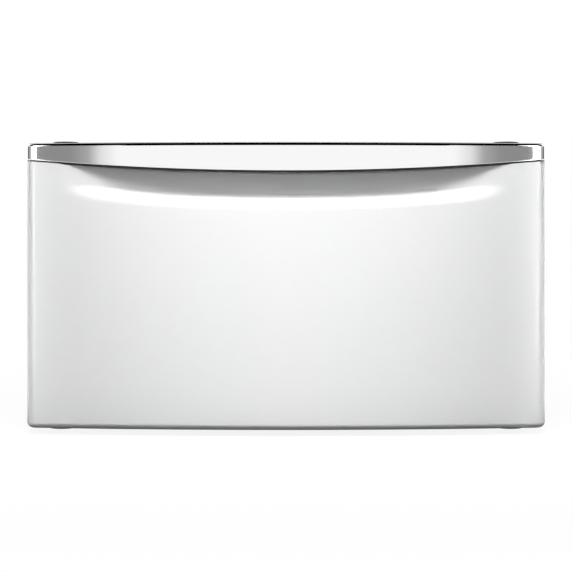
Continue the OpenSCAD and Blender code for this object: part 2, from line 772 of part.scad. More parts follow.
// Strip that spaces two rows of balls, with the balls in their holes.
module ball_cage(u_web, ball_u, ball_v, ball_r) {
    mid = cage_t / 2;
    pitch = cage_len / ball_count;
    x_web = x_support - u_web - mid;
    x_edge = x_support - ball_u - outer_ball_r - slip;
    color(zinc_steel) {
        difference() {
            along_y(y_cage, y_cage + cage_len)
                folded([[x_edge, z_slide + ball_v], [x_web, z_slide + ball_v],
                        [x_web, z_slide - ball_v], [x_edge, z_slide - ball_v]],
                       cage_t, cage_t / 2);
            for (i = [0 : ball_count - 1]) for (s = [-1, 1])
                translate([x_support - ball_u, y_cage + pitch * (i + 0.5), z_slide + s * ball_v - ball_r])
                    cylinder(r = ball_r + pocket_fit, h = 2 * ball_r, $fn = 24);
        }
        for (i = [0 : ball_count - 1]) for (s = [-1, 1])
            translate([x_support - ball_u, y_cage + pitch * (i + 0.5), z_slide + s * ball_v])
                sphere(r = ball_r, $fn = 24);
    }
}

module ball_cage_outer_right() {
    ball_cage(slide_t + slip, outer_ball_u, outer_ball_v, outer_ball_r);
}

module ball_cage_inner_right() {
    ball_cage(middle_u + slide_t + slip, inner_ball_u, inner_ball_v, inner_ball_r);
}

// Flush rivets that hold the outer members to their supports.
rivet_head_h = 1.4;
pin_head_h = 0.7;
module slide_rivets() {
    x_inner = x_support + sheet_t;
    color(zinc_steel)
        for (m = [0, 1]) mirror([m, 0, 0])
            for (y = rivet_y) {
                hole_x(y, z_slide, screw_head_r - seam, x_support - slide_t + seam, x_support);
                hole_x(y, z_slide, screw_r, x_support - slide_t / 2, x_inner + rivet_head_h / 2);
                hole_x(y, z_slide, screw_head_r, x_inner, x_inner + rivet_head_h);
            }
}

// Release lever in the inner member: a bar on a pin, with a thumb tab at its front end.
lever_setback = 130;
lever_y = y_slide + lever_setback;
lever_pin_r = 2.4;
lever_len = 70;
lever_t = 3;
lever_u = slide_w - slide_t - seam - lever_t;      // cabinet side of the lever
module release_lever_right() {
    x0 = x_support - lever_u - lever_t;
    color(grey_plastic)
        difference() {
            union() {
                hole_x(lever_y, z_slide, 5, x0, x0 + lever_t);
                translate([x0, lever_y - lever_len, z_slide - 2]) cube([lever_t, lever_len, 4]);
                hole_x(lever_y - lever_len, z_slide, 3, x0, x0 + lever_t);
            }
            hole_x(lever_y, z_slide, lever_pin_r + stud_fit, x0 - 1, x0 + lever_t + 1);
        }
}

// ---------------------------------------------------------------- drawer box

x_inside = x_box - sheet_t;
hem_h = 8;                                 // height of the rolled top edges
z_pan = z_box + sheet_t;                   // underside of the bottom pan
z_rim = z_box + drawer_h;
front_screw_places = [for (x = [-0.8, 0, 0.8]) for (z = [0.2, 0.8]) [x * x_box, z_box + z * drawer_h]];

module drawer_side_right() {
    mid = sheet_t / 2;
    color(zinc_steel)
        difference() {
            along_y(y_liner, y_box_end)
                folded([[x_box - hem_w + mid, z_rim - hem_h], [x_box - hem_w + mid, z_rim - mid],
                        [x_box - mid, z_rim - mid], [x_box - mid, z_box + mid],
                        [x_box - drawer_flange, z_box + mid]]);
            for (y = rivet_y) hole_x(y, z_slide, screw_r + screw_fit, x_box - 5, x_box + 5);
            hole_x(lever_y, z_slide, lever_pin_r + screw_fit, x_box - 5, x_box + 5);
        }
}

// Bottom pan with turned-up sides and pressed beads along its length.
pan_bead = 14;
pan_lip = 10;
module drawer_bottom() {
    mid = sheet_t / 2;
    z = z_pan + mid;
    x_edge = x_inside - seam - mid;
    beads = [for (s = [-0.6, -0.2, 0.2, 0.6]) s * x_inside];
    color(zinc_steel)
        along_y(y_liner + sheet_t + seam, y_box_end - sheet_t - seam)
            folded(concat(
                [[-x_edge, z + pan_lip], [-x_edge, z]],
                [for (b = beads) each [[b - pan_bead - 3, z], [b - pan_bead, z + 3],
                                       [b + pan_bead, z + 3], [b + pan_bead + 3, z]]],
                [[x_edge, z], [x_edge, z + pan_lip]]
            ), sheet_t, 0.8);
}

// Wall across the drawer with side flanges that turn inwards, towards gives their direction.
wall_flange = 14;                          // side flanges of the walls
wall_gap = 1;                              // between a wall's hem or foot and the drawer sides
module cross_wall(y0, towards, z_high) {
    mid = sheet_t / 2;
    x_edge = x_inside - seam - mid;
    x_hem = x_inside - hem_w - wall_gap;
    x_foot = x_inside - drawer_flange - wall_gap;
    y_wall = y0 + towards * mid;
    y_flange = y_wall + towards * wall_flange;
    y_hem = y_wall + towards * (hem_w - sheet_t);
    z_foot = z_pan + mid + pan_lip + seam;
    union() {
        translate([0, 0, z_foot]) linear_extrude(z_rim - hem_h - seam - z_foot)
            folded([[-x_edge, y_flange], [-x_edge, y_wall], [x_edge, y_wall], [x_edge, y_flange]]);
        along_x(-x_hem, x_hem)
            folded([[y_wall, z_high - wall_flange], [y_wall, z_high - mid], [y_hem, z_high - mid],
                    [y_hem, z_high - hem_h]]);
        along_x(-x_foot, x_foot)
            translate([min(y0, y0 + towards * sheet_t), z_box]) square([sheet_t, z_foot + sheet_t - z_box]);
    }
}

module drawer_rear_wall() {
    color(zinc_steel) cross_wall(y_box_end, -1, z_rim - sheet_t - seam);
}

module drawer_front_wall() {
    color(zinc_steel)
        difference() {
            cross_wall(y_liner, 1, z_rim - sheet_t - seam);
            for (p = front_screw_places)
                hole_y(p[0], p[1], screw_r + screw_fit, y_liner - 5, y_liner + 5);
        }
}

module front_screws() {
    color(zinc_steel)
        for (p = front_screw_places)
            translate([p[0], y_liner + sheet_t, p[1]]) rotate([-90, 0, 0]) screw(9);
}

// Rivets of the inner members, and the pins that the release levers turn on.
module drawer_rivets() {
    x_head = x_box + slide_t;
    x_pin = x_support - lever_u;
    color(zinc_steel)
        for (m = [0, 1]) mirror([m, 0, 0]) {
            for (y = rivet_y) {
                hole_x(y, z_slide, screw_head_r, x_head, x_head + rivet_head_h);
                hole_x(y, z_slide, screw_r, x_inside - rivet_head_h / 2, x_head + rivet_head_h / 2);
                hole_x(y, z_slide, screw_head_r, x_inside - rivet_head_h, x_inside);
            }
            hole_x(lever_y, z_slide, lever_pin_r, x_inside - rivet_head_h / 2, x_pin + pin_head_h);
            hole_x(lever_y, z_slide, lever_pin_r + rivet_head_h, x_pin + seam, x_pin + seam + pin_head_h);
            hole_x(lever_y, z_slide, screw_head_r, x_inside - rivet_head_h, x_inside);
        }
}

// ---------------------------------------------------------------- divider

y_divider = (y_liner + y_box_end) / 2 + divider_shift;
z_divider = z_pan + sheet_t + 3 + seam;
guide_w = 10;
guide_foot = 14;

module divider_guides() {
    mid = sheet_t / 2;
    half_slot = mid + slip;
    x_wall = x_inside - mid;
    z0 = z_pan + sheet_t + pan_lip + wall_gap;
    color(zinc_steel)
        for (m = [0, 1]) mirror([m, 0, 0])
            translate([0, 0, z0]) linear_extrude(guide_h)
                for (s = [-1, 1])
                    folded([[x_wall, y_divider + s * (half_slot + guide_foot)],
                            [x_wall, y_divider + s * (half_slot + mid)],
                            [x_wall - guide_w, y_divider + s * (half_slot + mid)]]);
}

module divider() {
    mid = sheet_t / 2;
    x_wing = x_inside - 1.5;
    x_edge = x_box - hem_w - 1.5;
    z_high = z_divider + divider_h;
    color(white_paint)
        difference() {
            union() {
                translate([-x_edge, y_divider - mid, z_divider]) cube([2 * x_edge, sheet_t, divider_h - 2]);
                translate([-x_wing, y_divider - mid, z_divider]) cube([2 * x_wing, sheet_t, guide_h + 8]);
                along_x(-x_edge + 4, x_edge - 4)
                    folded([[y_divider, z_high - 14], [y_divider, z_high - mid],
                            [y_divider + hem_w, z_high - mid], [y_divider + hem_w, z_high - 9]]);
            }
            for (s = [-1, 1])
                translate([s * x_wing - 2, y_divider - 2, z_divider - 1]) cube([4, 4, 9]);
        }
}

// ---------------------------------------------------------------- assembly

on_left() side_panel_right();  // side_panel_left
side_panel_right();
back_panel();
top_rail(y_cabinet + sheet_t, 1, seat_y[0]);  // top_front_rail
top_rail(y_back - 2 * sheet_t, -1, seat_y[1]);  // top_rear_rail
base_rail(y_cabinet + sheet_t, 1, y_cabinet + foot_inset_y);  // base_front_rail
base_rail(y_back - 2 * sheet_t, -1, y_back - foot_inset_y);  // base_rear_rail
washer_seat(seats[0]);  // washer_seat_front_left
washer_seat(seats[1]);  // washer_seat_rear_left
washer_seat(seats[2]);  // washer_seat_front_right
washer_seat(seats[3]);  // washer_seat_rear_right
foot_bracket(feet[0]);  // foot_bracket_front_left
foot_bracket(feet[1]);  // foot_bracket_rear_left
foot_bracket(feet[2]);  // foot_bracket_front_right
foot_bracket(feet[3]);  // foot_bracket_rear_right
foot_weld_nuts();
foot_jam_nuts();
on_left() slide_support_right();  // slide_support_left
slide_support_right();
on_left() slide_outer_right();  // slide_outer_left
slide_outer_right();
drawer_bumpers();
cabinet_screws();
slide_rivets();
foot_pad(feet[0]);  // foot_pad_front_left
foot_pad(feet[1]);  // foot_pad_rear_left
foot_pad(feet[2]);  // foot_pad_front_right
foot_pad(feet[3]);  // foot_pad_rear_right
foot_stud(feet[0]);  // foot_stud_front_left
foot_stud(feet[1]);  // foot_stud_rear_left
foot_stud(feet[2]);  // foot_stud_front_right
foot_stud(feet[3]);  // foot_stud_rear_right
on_left() slide_middle_right();  // slide_middle_left
slide_middle_right();
on_left() ball_cage_outer_right();  // ball_cage_outer_left
ball_cage_outer_right();
on_left() ball_cage_inner_right();  // ball_cage_inner_left
ball_cage_inner_right();
front_panel();
handle_strip();
handle_grip();
front_top_cap();
front_liner();
drawer_bottom();
on_left() drawer_side_right();  // drawer_side_left
drawer_side_right();
drawer_rear_wall();
drawer_front_wall();
on_left() slide_inner_right();  // slide_inner_left
slide_inner_right();
drawer_rivets();
front_screws();
divider_guides();
divider();
on_left() release_lever_right();  // release_lever_left
release_lever_right();
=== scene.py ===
import json
import math

import bmesh
import bpy
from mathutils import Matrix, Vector


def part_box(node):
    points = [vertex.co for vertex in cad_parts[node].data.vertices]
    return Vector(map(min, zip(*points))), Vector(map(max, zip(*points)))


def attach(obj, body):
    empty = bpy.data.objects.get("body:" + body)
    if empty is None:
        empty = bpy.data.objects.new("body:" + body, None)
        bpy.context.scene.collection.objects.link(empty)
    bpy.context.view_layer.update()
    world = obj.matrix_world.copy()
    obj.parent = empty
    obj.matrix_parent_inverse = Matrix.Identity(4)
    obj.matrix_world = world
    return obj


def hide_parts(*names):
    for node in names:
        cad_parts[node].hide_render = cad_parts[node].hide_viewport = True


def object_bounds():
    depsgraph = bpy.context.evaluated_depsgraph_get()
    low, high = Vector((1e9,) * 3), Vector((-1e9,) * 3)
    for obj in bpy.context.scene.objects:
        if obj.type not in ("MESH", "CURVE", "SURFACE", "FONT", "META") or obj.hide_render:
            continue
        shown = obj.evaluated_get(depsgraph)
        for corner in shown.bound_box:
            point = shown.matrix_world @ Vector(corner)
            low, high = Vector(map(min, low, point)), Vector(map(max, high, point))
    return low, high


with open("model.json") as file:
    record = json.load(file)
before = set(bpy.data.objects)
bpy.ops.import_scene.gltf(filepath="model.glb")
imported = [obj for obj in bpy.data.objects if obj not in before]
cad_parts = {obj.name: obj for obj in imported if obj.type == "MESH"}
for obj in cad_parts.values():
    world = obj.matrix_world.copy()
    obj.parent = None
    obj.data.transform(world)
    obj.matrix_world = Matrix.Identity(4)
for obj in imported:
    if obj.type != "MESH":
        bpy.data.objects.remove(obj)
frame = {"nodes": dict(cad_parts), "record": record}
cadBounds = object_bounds()
nodes = frame["nodes"]
print("frame loaded:", len(nodes), "nodes")


def setInputs(node, inputs):
    for name, value in inputs.items():
        node.inputs[name].default_value = value


def addNode(tree, kind, **inputs):
    node = tree.nodes.new(kind)
    setInputs(node, inputs)
    return node


def linkNodes(tree, source, output, target, socket):
    tree.links.new(source.outputs[output], target.inputs[socket])


# A Math node's result. Each value is a number or another node's output.
def addMath(tree, operation, *values):
    node = tree.nodes.new("ShaderNodeMath")
    node.operation = operation
    for socket, value in enumerate(values):
        if isinstance(value, (int, float)):
            node.inputs[socket].default_value = value
        else:
            tree.links.new(value, node.inputs[socket])
    return node.outputs[0]


def newMaterial(name):
    material = bpy.data.materials.new(name)
    material.use_nodes = True
    tree = material.node_tree
    return material, tree, tree.nodes["Principled BSDF"]


# An empty node group with its sockets, each named with its kind, and its two end nodes.
def newGroup(name, inputs, outputs):
    group = bpy.data.node_groups.new(name, "ShaderNodeTree")
    for direction, sockets in (("INPUT", inputs), ("OUTPUT", outputs)):
        for socket, kind in sockets.items():
            group.interface.new_socket(socket, in_out=direction, socket_type="NodeSocket" + kind)
    return group, group.nodes.new("NodeGroupInput"), group.nodes.new("NodeGroupOutput")


def useGroup(tree, group, inputs):
    node = tree.nodes.new("ShaderNodeGroup")
    node.node_tree = group
    setInputs(node, inputs)
    return node


# The group's Gloss, moved both ways by a pattern whose values run from 0 to 1.
def variedGloss(group, inside, pattern):
    centred = addMath(group, "SUBTRACT", pattern, 0.5)
    return addMath(group, "MULTIPLY_ADD", centred, inside.outputs["Gloss Spread"],
                   inside.outputs["Gloss"])


skinPattern = {
    "fineDetail": 2.0,
    "bumpHeight": 0.0004,
    "broadScale": 9.0,         # of the patches that differ in gloss
    "broadDetail": 3.0,
}


# The slight unevenness of a sprayed or moulded skin, as a normal and as a change of gloss.
def buildSkinGroup(look):
    group, inside, outside = newGroup(
        "SkinUnevenness",
        {"Scale": "Float", "Depth": "Float", "Gloss": "Float", "Gloss Spread": "Float"},
        {"Normal": "Vector", "Roughness": "Float"})
    coordinates = group.nodes.new("ShaderNodeTexCoord")
    fine = addNode(group, "ShaderNodeTexNoise", Detail=look["fineDetail"])
    linkNodes(group, coordinates, "Object", fine, "Vector")
    linkNodes(group, inside, "Scale", fine, "Scale")
    bump = addNode(group, "ShaderNodeBump", Distance=look["bumpHeight"])
    linkNodes(group, inside, "Depth", bump, "Strength")
    linkNodes(group, fine, "Fac", bump, "Height")
    linkNodes(group, bump, "Normal", outside, "Normal")
    broad = addNode(group, "ShaderNodeTexNoise", Scale=look["broadScale"], Detail=look["broadDetail"])
    linkNodes(group, coordinates, "Object", broad, "Vector")
    gloss = variedGloss(group, inside, broad.outputs["Fac"])
    group.links.new(gloss, outside.inputs["Roughness"])
    return group


# The crystals of a zinc coat: each patch has its own grey and its own gloss.
def buildSpangleGroup():
    group, inside, outside = newGroup(
        "ZincSpangle",
        {"Scale": "Float", "Gloss": "Float", "Gloss Spread": "Float", "Light": "Color", "Dark": "Color"},
        {"Color": "Color", "Roughness": "Float"})
    coordinates = group.nodes.new("ShaderNodeTexCoord")
    crystals = group.nodes.new("ShaderNodeTexVoronoi")
    linkNodes(group, coordinates, "Object", crystals, "Vector")
    linkNodes(group, inside, "Scale", crystals, "Scale")
    chance = group.nodes.new("ShaderNodeSeparateColor")
    linkNodes(group, crystals, "Color", chance, "Color")
    grey = group.nodes.new("ShaderNodeMix")
    grey.data_type = "RGBA"
    linkNodes(group, chance, "Red", grey, "Factor")
    linkNodes(group, inside, "Light", grey, "A")
    linkNodes(group, inside, "Dark", grey, "B")
    linkNodes(group, grey, "Result", outside, "Color")
    gloss = variedGloss(group, inside, chance.outputs["Green"])
    group.links.new(gloss, outside.inputs["Roughness"])
    return group


skinGroup = buildSkinGroup(skinPattern)
spangleGroup = buildSpangleGroup()


def finishMaterial(name, look):
    material, tree, shader = newMaterial(name)
    colour = (*look["colour"], 1)
    setInputs(shader, {"Base Color": colour, "Metallic": look.get("metal", 0.0)})
    gloss = {"Gloss": look["gloss"], "Gloss Spread": look["spread"]}
    skin = useGroup(tree, skinGroup, {"Scale": look["grain"], "Depth": look["depth"], **gloss})
    linkNodes(tree, skin, "Normal", shader, "Normal")
    if "coat" in look:
        setInputs(shader, {"Coat Weight": look["coat"], "Coat Roughness": look["coatGloss"]})
    if "spangle" in look:
        spangle = useGroup(tree, spangleGroup, {"Scale": look["spangle"], "Light": colour,
                                                "Dark": (*look["darker"], 1), **gloss})
        linkNodes(tree, spangle, "Color", shader, "Base Color")
        linkNodes(tree, spangle, "Roughness", shader, "Roughness")
    else:
        linkNodes(tree, skin, "Roughness", shader, "Roughness")
    return material


# One finish for each material slot. Gloss is a roughness, so 0 is a mirror.
finishes = {
    "gloss_white": {"colour": (0.90, 0.90, 0.90), "grain": 160, "depth": 0.005, "gloss": 0.20,
                    "spread": 0.03, "coat": 0.3, "coatGloss": 0.06},
    "white_enamel": {"colour": (0.88, 0.88, 0.875), "grain": 420, "depth": 0.06, "gloss": 0.3,
                     "spread": 0.05, "coat": 0.2, "coatGloss": 0.12},
    "black_enamel": {"colour": (0.02, 0.02, 0.021), "grain": 420, "depth": 0.06, "gloss": 0.38,
                     "spread": 0.06},
    "bright_trim": {"colour": (0.93, 0.93, 0.93), "grain": 300, "depth": 0.002, "gloss": 0.05,
                    "spread": 0.02, "metal": 1.0},
    "zinc": {"colour": (0.72, 0.73, 0.74), "darker": (0.60, 0.61, 0.625), "grain": 90, "depth": 0.05,
             "gloss": 0.42, "spread": 0.16, "metal": 0.75, "spangle": 120},
    "dark_plastic": {"colour": (0.035, 0.035, 0.037), "grain": 900, "depth": 0.2, "gloss": 0.5,
                     "spread": 0.08},
    "rubber": {"colour": (0.02, 0.02, 0.02), "grain": 700, "depth": 0.3, "gloss": 0.75, "spread": 0.1},
}
materials = {slot: finishMaterial(slot, look) for slot, look in finishes.items()}
print("finishes made:", len(materials))

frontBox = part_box("front_panel")
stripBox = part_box("handle_strip")
halfWidth = (frontBox[1][0] - frontBox[0][0]) / 2
faceY = frontBox[0][1]
rearY = frontBox[1][1]
lowZ = frontBox[0][2]
topZ = stripBox[1][2]

# Lengths are in metres. A pair is the value at the middle and the value at the sides.
frontShape = {
    "bow": 0.031,              # how far the middle stands ahead of the sides
    "corner": 0.015,           # radius of the upright corners
    "wall": 0.0025,
    "lowerRound": 0.008,       # roll of the lower edge
    "lowerFlange": 0.012,
    "pocketDepth": 0.024,
    "pocketHalfWidth": 0.302,
    "pocketTaper": 2.8,        # above 1 the pocket keeps its depth further out
    "creaseDrop": (0.0672, 0.0464),    # from the strip's top down to the crease
    "lipHeight": 0.023,
    "lipLean": 1.4,            # above 1 the curve is tighter at the crease than at the face
    "wallStep": 0.0008,        # how far under the strip the wall starts to step back
    "steps": {"bow": 180, "corner": 20, "side": 3, "round": 12, "face": 20, "lip": 30, "wall": 8},
}
stripShape = {
    "height": (0.0386, 0.0226),
    "wall": 0.003,
    "proud": 0.0006,           # how far it stands ahead of the front
    "topRound": 0.0048,
    "lowRound": 0.0024,
    "ledge": 0.013,
    "gap": 0.0003,             # room between the strip and the front behind it
    "steps": {"round": 10, "face": 6},
}


def between(pair, share):
    return pair[0] + (pair[1] - pair[0]) * share


def facing(angle):
    return Vector((math.sin(angle), -math.cos(angle)))


# Places round the bowed front seen from above, each with its outward direction.
def planStations(shape):
    corner, steps = shape["corner"], shape["steps"]
    bowRadius = (halfWidth ** 2 + shape["bow"] ** 2) / (2 * shape["bow"])
    bowCentre = Vector((0, faceY + bowRadius))
    innerRadius = bowRadius - corner
    cornerX = halfWidth - corner
    cornerCentre = Vector((cornerX, bowCentre.y - math.sqrt(innerRadius ** 2 - cornerX ** 2)))
    bowAngle = math.asin(cornerX / innerRadius)
    right = []
    for i in range(steps["bow"]):
        out = facing(bowAngle * i / steps["bow"])
        right.append((bowCentre + bowRadius * out, out))
    for i in range(steps["corner"] + 1):
        out = facing(between((bowAngle, math.pi / 2), i / steps["corner"]))
        right.append((cornerCentre + corner * out, out))
    for i in range(1, steps["side"] + 1):
        y = between((cornerCentre.y, rearY), i / steps["side"])
        right.append((Vector((halfWidth, y)), facing(math.pi / 2)))
    left = [(Vector((-place.x, place.y)), Vector((-out.x, out.y))) for place, out in right[:0:-1]]
    return left + right


# A pair's value at x: it changes slowly at the middle and faster towards the sides.
def widthwise(pair, x):
    return between(pair, (x / halfWidth) ** 2)


def stripLow(x):
    return topZ - widthwise(stripShape["height"], x)


def pocketDepth(x):
    share = min(1.0, abs(x) / frontShape["pocketHalfWidth"]) ** frontShape["pocketTaper"]
    return frontShape["pocketDepth"] * math.cos(math.pi / 2 * share) ** 2


# Sections are points of depth behind the face and height. These go round an edge from its
# level side to its upright side, downwards where the rise is -1.
def roundedEdge(depth, height, radius, steps, rise=1):
    turns = [math.pi / 2 * i / steps for i in range(steps + 1)]
    return [(depth + radius * (1 - math.sin(turn)), height + rise * radius * (1 - math.cos(turn)))
            for turn in turns]


# Even points up an upright line, without its first.
def uprightLine(depth, start, end, steps):
    return [(depth, between((start, end), i / steps)) for i in range(1, steps + 1)]


# Section of the moulded front at x, up its outside and back down its inside.
def frontSection(x):
    steps = frontShape["steps"]
    wall, turn, flange = frontShape["wall"], frontShape["lowerRound"], frontShape["lowerFlange"]
    lip, lean = frontShape["lipHeight"], frontShape["lipLean"]
    deep = pocketDepth(x)
    crease = topZ - widthwise(frontShape["creaseDrop"], x)
    low = crease - lip
    behind = max(deep, stripShape["wall"] - stripShape["proud"] + stripShape["gap"])
    wallLow = stripLow(x) - frontShape["wallStep"]
    wallTop = topZ - stripShape["wall"] - stripShape["gap"]
    outer = [(flange, lowZ), ((flange + turn) / 2, lowZ)]
    outer += roundedEdge(0, lowZ, turn, steps["round"])
    outer += uprightLine(0, lowZ + turn, low, steps["face"])[:-1]
    inner = []
    for i in range(steps["lip"] + 1):
        share = i / steps["lip"]
        angle = math.pi * share ** lean
        depth = deep * (1 - math.cos(angle)) / 2
        slope = deep * math.pi / 2 * math.sin(angle) * lean * share ** (lean - 1)
        height = low + lip * share
        outer.append((depth, height))
        inner.append((depth + wall * math.hypot(1, slope / lip), height))
    outer += uprightLine(deep, crease, wallLow, steps["wall"])
    outer += [(behind, stripLow(x) - stripShape["gap"]), (behind, wallTop)]
    inner += [(behind + wall, wallLow), (behind + wall, wallTop)]
    foot = [(flange, lowZ + wall)]
    foot += roundedEdge(wall, lowZ + wall, turn - wall, steps["round"] // 2)
    return outer + inner[::-1] + foot[::-1]


# Section of the strip at x: an upright face with eased edges and a ledge back from its top.
def stripSection(x):
    wall, ledge, steps = stripShape["wall"], stripShape["ledge"], stripShape["steps"]
    lowRound, topRound = stripShape["lowRound"], stripShape["topRound"]
    out, low = -stripShape["proud"], stripLow(x)
    back = out + wall
    points = [(back, low)]
    points += roundedEdge(out, low, lowRound, steps["round"])
    points += uprightLine(out, low + lowRound, topZ - topRound, steps["face"])[:-1]
    points += roundedEdge(out, topZ, topRound, steps["round"], rise=-1)[::-1]
    points += [(ledge, topZ), (ledge, topZ - wall), (back, topZ - wall)]
    return points


stripShadeSealShape = {
    "height": (0.0011, 0.0015),        # what shows under the strip
    "setback": 0.0002,
    "depth": 0.0024,
    "overlap": 0.5,            # this and the bevel are shares of the height
    "bevel": (0.25, 0.3),      # back from the front, and up from the lowest edge
}


# Section of the thin black seal that closes the strip's lower edge against the front. Its black is
# painted shade: it stands in for the dark line of shade along the strip's lower edge.
def stripShadeSealSection(x):
    look, low = stripShadeSealShape, stripLow(x)
    front, back = look["setback"], look["depth"]
    high = widthwise(look["height"], x)
    overlap = high * look["overlap"]
    bevelDepth, bevelHeight = look["bevel"]
    return [(back, low - overlap), (front + high * bevelDepth, low - high),
            (front, low - high * (1 - bevelHeight)), (front, low + overlap), (back, low + overlap)]


topShadeSealShape = {
    "height": 0.0012,
    "setback": 0.0024,
    "depth": 0.0046,
    "bevel": 0.0003,
}


# Section of the black bead that closes the strip's top round against the top cap, alike at every x. Its
# black is painted shade: a dark bead put in so that the strip's top round shows a dark line along its
# whole length.
def topShadeSealSection(x):
    front, back, bevel = topShadeSealShape["setback"], topShadeSealShape["depth"], topShadeSealShape["bevel"]
    low = topZ - topShadeSealShape["height"]
    return [(back, low), (front, low), (front, topZ - bevel), (front + bevel, topZ), (back, topZ)]


def meshObject(name, shape, material):
    mesh = bpy.data.meshes.new(name)
    shape.to_mesh(mesh)
    shape.free()
    mesh.materials.append(material)
    piece = bpy.data.objects.new(name, mesh)
    bpy.context.collection.objects.link(piece)
    return piece


stations = planStations(frontShape)
sweep = {"mergeDistance": 1e-7, "sharpAngle": 40}


# A closed skin that carries a section along the plan line, from a grid bent into place.
def sweptPiece(name, sectionAt, slot):
    sections = [sectionAt(place.x) for place, out in stations]
    along, around = len(stations) - 1, len(sections[0])
    shape = bmesh.new()
    bmesh.ops.create_grid(shape, x_segments=along, y_segments=around, size=1.0)
    for vert in shape.verts:
        i = round((vert.co.x + 1) / 2 * along)
        j = round((vert.co.y + 1) / 2 * around) % around
        place, out = stations[i]
        depth, height = sections[i][j]
        spot = place - out * depth
        vert.co = (spot.x, spot.y, height)
    bmesh.ops.remove_doubles(shape, verts=shape.verts, dist=sweep["mergeDistance"])
    openEdges = [edge for edge in shape.edges if edge.is_boundary]
    bmesh.ops.holes_fill(shape, edges=openEdges, sides=0)
    bmesh.ops.recalc_face_normals(shape, faces=shape.faces)
    for face in shape.faces:
        face.smooth = True
    piece = meshObject(name, shape, materials[slot])
    piece.data.set_sharp_from_angle(angle=math.radians(sweep["sharpAngle"]))
    return piece


frontShell = sweptPiece("frontShell", frontSection, "gloss_white")
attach(frontShell, "drawer")
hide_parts("front_panel")
brightStrip = sweptPiece("brightStrip", stripSection, "bright_trim")
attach(brightStrip, "drawer")
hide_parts("handle_strip")
# A black seal as painted shade, for the dark line under the strip.
stripShadeSeal = sweptPiece("stripShadeSeal", stripShadeSealSection, "rubber")
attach(stripShadeSeal, "drawer")
# A black bead as painted shade, for the dark line along the strip's top.
topShadeSeal = sweptPiece("topShadeSeal", topShadeSealSection, "rubber")
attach(topShadeSeal, "drawer")
print("bowed front, bright strip and its seals made")

# The small edge rounding that shearing, moulding and paint leave.
edgeRound = {"width": 0.00025, "segments": 2, "angle": 38, "weldDistance": 1e-6}
slotOf = {part["node"]: part["material_slot"] for part in frame["record"]["subparts"]}


def roundEdges(piece, look):
    weld = piece.modifiers.new("weld", "WELD")
    weld.merge_threshold = look["weldDistance"]
    bevel = piece.modifiers.new("edgeRound", "BEVEL")
    bevel.width = look["width"]
    bevel.segments = look["segments"]
    bevel.limit_method = "ANGLE"
    bevel.angle_limit = math.radians(look["angle"])
    bevel.harden_normals = True


# The two replaced nodes are hidden, and the ball cages are round already.
unrounded = ("front_panel", "handle_strip", "ball_cage")
for name, piece in nodes.items():
    for place in piece.material_slots:
        place.material = materials[slotOf[name]]
    if not name.startswith(unrounded):
        roundEdges(piece, edgeRound)
print("carried-over parts dressed:", len(nodes))

# A lamp without a spread shines all round its front.
lamps = {
    "mainLamp": {"place": (0, -0.82, 1.12), "aim": (0, -0.33, 0.11), "size": (0.8, 0.46),
                 "power": 2.55, "spread": 50},
    # The same light for the front when the drawer is out.
    "openLamp": {"place": (0, -1.31, 1.12), "aim": (0, -0.82, 0.12), "size": (0.9, 0.3),
                 "power": 0.9, "spread": 26},
    "frontLamp": {"place": (0, -3.2, 0.5), "aim": (0, -0.33, 0.25), "size": (0.6, 0.3), "power": 7.2},
    "cornerLampRight": {"place": (0.92, -0.85, 0.25), "aim": (0.352, -0.31, 0.2),
                        "size": (0.04, 0.5), "power": 0.02, "spread": 8},
    "cornerLampLeft": {"place": (-0.92, -0.85, 0.25), "aim": (-0.352, -0.31, 0.2),
                       "size": (0.04, 0.5), "power": 0.016, "spread": 8},
    "sideLampRight": {"place": (2.1, 1.2, 0.9), "aim": (0.3, 0.1, 0.2), "size": (1.4, 1.0),
                      "power": 28},
    "sideLampLeft": {"place": (-2.1, 1.2, 0.9), "aim": (-0.3, 0.1, 0.2), "size": (1.4, 1.0),
                     "power": 28},
    "rearLamp": {"place": (0, 2.6, 1.3), "aim": (0, 0.3, 0.2), "size": (2.0, 1.0), "power": 17},
    "topLamp": {"place": (0, 0.5, 2.3), "aim": (0, 0.1, 0.3), "size": (2.0, 1.6), "power": 7},
}


# A lamp lights the object, but neither the camera nor a reflection sees it.
def addLamp(name, look):
    lamp = bpy.data.lights.new(name, "AREA")
    lamp.shape = "RECTANGLE"
    lamp.size, lamp.size_y = look["size"]
    lamp.energy = look["power"]
    if "spread" in look:
        lamp.spread = math.radians(look["spread"])
    holder = bpy.data.objects.new(name, lamp)
    bpy.context.collection.objects.link(holder)
    place = Vector(look["place"])
    holder.location = place
    holder.rotation_euler = (Vector(look["aim"]) - place).to_track_quat("-Z", "Y").to_euler()
    holder.visible_glossy = False
    holder.visible_camera = False


for name, look in lamps.items():
    addLamp(name, look)
print("lamps placed:", len(lamps))


# A flat sheet between two points. It faces along the axis on which they are level.
def addSheet(name, low, high, material):
    size = Vector(high) - Vector(low)
    middle = (Vector(high) + Vector(low)) / 2
    flat = min(range(3), key=lambda axis: size[axis])
    across, up = [axis for axis in range(3) if axis != flat]
    shape = bmesh.new()
    bmesh.ops.create_grid(shape, x_segments=1, y_segments=1, size=0.5)
    for vert in shape.verts:
        spot = middle.copy()
        spot[across] += vert.co.x * size[across]
        spot[up] += vert.co.y * size[up]
        vert.co = spot
    sheet = meshObject(name, shape, material)
    return sheet


# 1 for rays from the camera and for those that gloss or glass sends on, 0 for other light.
def seenByCamera(tree):
    rays = tree.nodes.new("ShaderNodeLightPath")
    direct = addMath(tree, "MAXIMUM", rays.outputs["Is Camera Ray"], rays.outputs["Is Glossy Ray"])
    return addMath(tree, "MAXIMUM", direct, rays.outputs["Is Transmission Ray"])


def mixShaders(tree, share, first, second):
    mix = tree.nodes.new("ShaderNodeMixShader")
    tree.links.new(share, mix.inputs[0])
    tree.links.new(first.outputs[0], mix.inputs[1])
    tree.links.new(second.outputs[0], mix.inputs[2])
    return mix


